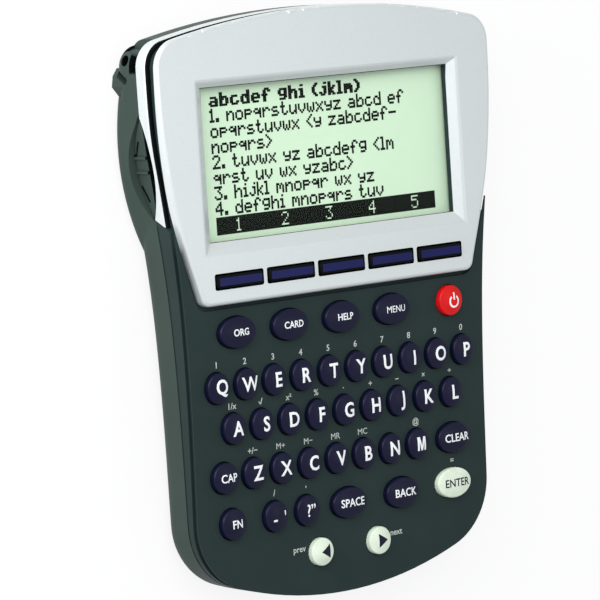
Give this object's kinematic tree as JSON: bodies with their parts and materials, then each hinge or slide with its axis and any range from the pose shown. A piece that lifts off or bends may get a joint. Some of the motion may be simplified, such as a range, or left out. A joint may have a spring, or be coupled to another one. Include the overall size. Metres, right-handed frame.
{
  "type": "electronic dictionary",
  "caption": "Hand-held slab dictionary with a wide silver display head, grey-green screen, tapering keyboard of small oval keys and a side scroll rocker.",
  "frame": {"origin": "under the middle of the flat back, on the surface it lies on", "axes": "+X to the right, +Y from the keyboard towards the display, +Z out of the keyboard face"},
  "size_m": [0.0946, 0.1272, 0.0161],
  "materials": {
    "case_dark": "satin dark green-grey",
    "case_back": "satin grey-green",
    "silver": "satin silver paint on plastic",
    "window": "clear, glossy",
    "lcd": "grey-green reflective display",
    "board": "green solder mask",
    "mat": "matt grey",
    "cell": "bright",
    "contact": "bright",
    "connector": "black",
    "screw": "bright",
    "key_navy": "soft satin dark blue",
    "key_pale": "soft satin pale green",
    "key_red": "soft satin red",
    "menu_bar": "satin black"
  },
  "bodies": {
    "case": {"front_case": "case_dark", "display_bezel": "silver", "side_band": "silver", "display_window": "window", "lcd_module": "lcd", "main_board": "board", "key_mat": "mat", "back_case": "case_back", "batteries": "cell", "battery_contacts": "contact", "card_connector": "connector", "case_screws": "screw"},
    "battery_door": {"battery_door": "case_back"},
    "scroll_rocker": {"scroll_rocker": "case_back"},
    "key_soft_1": {"key_soft_1": "menu_bar"},
    "key_soft_2": {"key_soft_2": "menu_bar"},
    "key_soft_3": {"key_soft_3": "menu_bar"},
    "key_soft_4": {"key_soft_4": "menu_bar"},
    "key_soft_5": {"key_soft_5": "menu_bar"},
    "key_org": {"key_org": "key_navy"},
    "key_card": {"key_card": "key_navy"},
    "key_help": {"key_help": "key_navy"},
    "key_menu": {"key_menu": "key_navy"},
    "key_power": {"key_power": "key_red"},
    "key_q": {"key_q": "key_navy"},
    "key_w": {"key_w": "key_navy"},
    "key_e": {"key_e": "key_navy"},
    "key_r": {"key_r": "key_navy"},
    "key_t": {"key_t": "key_navy"},
    "key_y": {"key_y": "key_navy"},
    "key_u": {"key_u": "key_navy"},
    "key_i": {"key_i": "key_navy"},
    "key_o": {"key_o": "key_navy"},
    "key_p": {"key_p": "key_navy"},
    "key_a": {"key_a": "key_navy"},
    "key_s": {"key_s": "key_navy"},
    "key_d": {"key_d": "key_navy"},
    "key_f": {"key_f": "key_navy"},
    "key_g": {"key_g": "key_navy"},
    "key_h": {"key_h": "key_navy"},
    "key_j": {"key_j": "key_navy"},
    "key_k": {"key_k": "key_navy"},
    "key_l": {"key_l": "key_navy"},
    "key_z": {"key_z": "key_navy"},
    "key_x": {"key_x": "key_navy"},
    "key_c": {"key_c": "key_navy"},
    "key_v": {"key_v": "key_navy"},
    "key_b": {"key_b": "key_navy"},
    "key_n": {"key_n": "key_navy"},
    "key_m": {"key_m": "key_navy"},
    "key_cap": {"key_cap": "key_navy"},
    "key_clear": {"key_clear": "key_navy"},
    "key_fn": {"key_fn": "key_navy"},
    "key_dash": {"key_dash": "key_navy"},
    "key_question": {"key_question": "key_navy"},
    "key_space": {"key_space": "key_navy"},
    "key_back": {"key_back": "key_navy"},
    "key_enter": {"key_enter": "key_pale"},
    "key_prev": {"key_prev": "key_pale"},
    "key_next": {"key_next": "key_pale"}
  },
  "joints": [
    {"name": "scroll_rocker_tilt", "type": "hinge", "parent": "case", "child": "scroll_rocker", "pos_m": [-0.0406, 0.0322, 0.00735], "axis": [0, 0, 1], "range_deg": [-3.5, 3.5], "stiffness_Nm_per_rad": 0.05},
    {"name": "battery_door_slide", "type": "slide", "parent": "case", "child": "battery_door", "axis": [0, -1, 0], "range_m": [0, 0.034]},
    {"name": "key_soft_1_press", "type": "slide", "parent": "case", "child": "key_soft_1", "axis": [0, 0, -1], "range_m": [0, 0.0008], "stiffness_N_per_m": 400, "springref_m": -0.0003},
    {"name": "key_soft_2_press", "type": "slide", "parent": "case", "child": "key_soft_2", "axis": [0, 0, -1], "range_m": [0, 0.0008], "stiffness_N_per_m": 400, "springref_m": -0.0003},
    {"name": "key_soft_3_press", "type": "slide", "parent": "case", "child": "key_soft_3", "axis": [0, 0, -1], "range_m": [0, 0.0008], "stiffness_N_per_m": 400, "springref_m": -0.0003},
    {"name": "key_soft_4_press", "type": "slide", "parent": "case", "child": "key_soft_4", "axis": [0, 0, -1], "range_m": [0, 0.0008], "stiffness_N_per_m": 400, "springref_m": -0.0003},
    {"name": "key_soft_5_press", "type": "slide", "parent": "case", "child": "key_soft_5", "axis": [0, 0, -1], "range_m": [0, 0.0008], "stiffness_N_per_m": 400, "springref_m": -0.0003},
    {"name": "key_org_press", "type": "slide", "parent": "case", "child": "key_org", "axis": [0, 0, -1], "range_m": [0, 0.0008], "stiffness_N_per_m": 400, "springref_m": -0.0003},
    {"name": "key_card_press", "type": "slide", "parent": "case", "child": "key_card", "axis": [0, 0, -1], "range_m": [0, 0.0008], "stiffness_N_per_m": 400, "springref_m": -0.0003},
    {"name": "key_help_press", "type": "slide", "parent": "case", "child": "key_help", "axis": [0, 0, -1], "range_m": [0, 0.0008], "stiffness_N_per_m": 400, "springref_m": -0.0003},
    {"name": "key_menu_press", "type": "slide", "parent": "case", "child": "key_menu", "axis": [0, 0, -1], "range_m": [0, 0.0008], "stiffness_N_per_m": 400, "springref_m": -0.0003},
    {"name": "key_power_press", "type": "slide", "parent": "case", "child": "key_power", "axis": [0, 0, -1], "range_m": [0, 0.0008], "stiffness_N_per_m": 400, "springref_m": -0.0003},
    {"name": "key_q_press", "type": "slide", "parent": "case", "child": "key_q", "axis": [0, 0, -1], "range_m": [0, 0.0008], "stiffness_N_per_m": 400, "springref_m": -0.0003},
    {"name": "key_w_press", "type": "slide", "parent": "case", "child": "key_w", "axis": [0, 0, -1], "range_m": [0, 0.0008], "stiffness_N_per_m": 400, "springref_m": -0.0003},
    {"name": "key_e_press", "type": "slide", "parent": "case", "child": "key_e", "axis": [0, 0, -1], "range_m": [0, 0.0008], "stiffness_N_per_m": 400, "springref_m": -0.0003},
    {"name": "key_r_press", "type": "slide", "parent": "case", "child": "key_r", "axis": [0, 0, -1], "range_m": [0, 0.0008], "stiffness_N_per_m": 400, "springref_m": -0.0003},
    {"name": "key_t_press", "type": "slide", "parent": "case", "child": "key_t", "axis": [0, 0, -1], "range_m": [0, 0.0008], "stiffness_N_per_m": 400, "springref_m": -0.0003},
    {"name": "key_y_press", "type": "slide", "parent": "case", "child": "key_y", "axis": [0, 0, -1], "range_m": [0, 0.0008], "stiffness_N_per_m": 400, "springref_m": -0.0003},
    {"name": "key_u_press", "type": "slide", "parent": "case", "child": "key_u", "axis": [0, 0, -1], "range_m": [0, 0.0008], "stiffness_N_per_m": 400, "springref_m": -0.0003},
    {"name": "key_i_press", "type": "slide", "parent": "case", "child": "key_i", "axis": [0, 0, -1], "range_m": [0, 0.0008], "stiffness_N_per_m": 400, "springref_m": -0.0003},
    {"name": "key_o_press", "type": "slide", "parent": "case", "child": "key_o", "axis": [0, 0, -1], "range_m": [0, 0.0008], "stiffness_N_per_m": 400, "springref_m": -0.0003},
    {"name": "key_p_press", "type": "slide", "parent": "case", "child": "key_p", "axis": [0, 0, -1], "range_m": [0, 0.0008], "stiffness_N_per_m": 400, "springref_m": -0.0003},
    {"name": "key_a_press", "type": "slide", "parent": "case", "child": "key_a", "axis": [0, 0, -1], "range_m": [0, 0.0008], "stiffness_N_per_m": 400, "springref_m": -0.0003},
    {"name": "key_s_press", "type": "slide", "parent": "case", "child": "key_s", "axis": [0, 0, -1], "range_m": [0, 0.0008], "stiffness_N_per_m": 400, "springref_m": -0.0003},
    {"name": "key_d_press", "type": "slide", "parent": "case", "child": "key_d", "axis": [0, 0, -1], "range_m": [0, 0.0008], "stiffness_N_per_m": 400, "springref_m": -0.0003},
    {"name": "key_f_press", "type": "slide", "parent": "case", "child": "key_f", "axis": [0, 0, -1], "range_m": [0, 0.0008], "stiffness_N_per_m": 400, "springref_m": -0.0003},
    {"name": "key_g_press", "type": "slide", "parent": "case", "child": "key_g", "axis": [0, 0, -1], "range_m": [0, 0.0008], "stiffness_N_per_m": 400, "springref_m": -0.0003},
    {"name": "key_h_press", "type": "slide", "parent": "case", "child": "key_h", "axis": [0, 0, -1], "range_m": [0, 0.0008], "stiffness_N_per_m": 400, "springref_m": -0.0003},
    {"name": "key_j_press", "type": "slide", "parent": "case", "child": "key_j", "axis": [0, 0, -1], "range_m": [0, 0.0008], "stiffness_N_per_m": 400, "springref_m": -0.0003},
    {"name": "key_k_press", "type": "slide", "parent": "case", "child": "key_k", "axis": [0, 0, -1], "range_m": [0, 0.0008], "stiffness_N_per_m": 400, "springref_m": -0.0003},
    {"name": "key_l_press", "type": "slide", "parent": "case", "child": "key_l", "axis": [0, 0, -1], "range_m": [0, 0.0008], "stiffness_N_per_m": 400, "springref_m": -0.0003},
    {"name": "key_z_press", "type": "slide", "parent": "case", "child": "key_z", "axis": [0, 0, -1], "range_m": [0, 0.0008], "stiffness_N_per_m": 400, "springref_m": -0.0003},
    {"name": "key_x_press", "type": "slide", "parent": "case", "child": "key_x", "axis": [0, 0, -1], "range_m": [0, 0.0008], "stiffness_N_per_m": 400, "springref_m": -0.0003},
    {"name": "key_c_press", "type": "slide", "parent": "case", "child": "key_c", "axis": [0, 0, -1], "range_m": [0, 0.0008], "stiffness_N_per_m": 400, "springref_m": -0.0003},
    {"name": "key_v_press", "type": "slide", "parent": "case", "child": "key_v", "axis": [0, 0, -1], "range_m": [0, 0.0008], "stiffness_N_per_m": 400, "springref_m": -0.0003},
    {"name": "key_b_press", "type": "slide", "parent": "case", "child": "key_b", "axis": [0, 0, -1], "range_m": [0, 0.0008], "stiffness_N_per_m": 400, "springref_m": -0.0003},
    {"name": "key_n_press", "type": "slide", "parent": "case", "child": "key_n", "axis": [0, 0, -1], "range_m": [0, 0.0008], "stiffness_N_per_m": 400, "springref_m": -0.0003},
    {"name": "key_m_press", "type": "slide", "parent": "case", "child": "key_m", "axis": [0, 0, -1], "range_m": [0, 0.0008], "stiffness_N_per_m": 400, "springref_m": -0.0003},
    {"name": "key_cap_press", "type": "slide", "parent": "case", "child": "key_cap", "axis": [0, 0, -1], "range_m": [0, 0.0008], "stiffness_N_per_m": 400, "springref_m": -0.0003},
    {"name": "key_clear_press", "type": "slide", "parent": "case", "child": "key_clear", "axis": [0, 0, -1], "range_m": [0, 0.0008], "stiffness_N_per_m": 400, "springref_m": -0.0003},
    {"name": "key_fn_press", "type": "slide", "parent": "case", "child": "key_fn", "axis": [0, 0, -1], "range_m": [0, 0.0008], "stiffness_N_per_m": 400, "springref_m": -0.0003},
    {"name": "key_dash_press", "type": "slide", "parent": "case", "child": "key_dash", "axis": [0, 0, -1], "range_m": [0, 0.0008], "stiffness_N_per_m": 400, "springref_m": -0.0003},
    {"name": "key_question_press", "type": "slide", "parent": "case", "child": "key_question", "axis": [0, 0, -1], "range_m": [0, 0.0008], "stiffness_N_per_m": 400, "springref_m": -0.0003},
    {"name": "key_space_press", "type": "slide", "parent": "case", "child": "key_space", "axis": [0, 0, -1], "range_m": [0, 0.0008], "stiffness_N_per_m": 400, "springref_m": -0.0003},
    {"name": "key_back_press", "type": "slide", "parent": "case", "child": "key_back", "axis": [0, 0, -1], "range_m": [0, 0.0008], "stiffness_N_per_m": 400, "springref_m": -0.0003},
    {"name": "key_enter_press", "type": "slide", "parent": "case", "child": "key_enter", "axis": [0, 0, -1], "range_m": [0, 0.0008], "stiffness_N_per_m": 400, "springref_m": -0.0003},
    {"name": "key_prev_press", "type": "slide", "parent": "case", "child": "key_prev", "axis": [0, 0, -1], "range_m": [0, 0.0008], "stiffness_N_per_m": 400, "springref_m": -0.0003},
    {"name": "key_next_press", "type": "slide", "parent": "case", "child": "key_next", "axis": [0, 0, -1], "range_m": [0, 0.0008], "stiffness_N_per_m": 400, "springref_m": -0.0003}
  ]
}
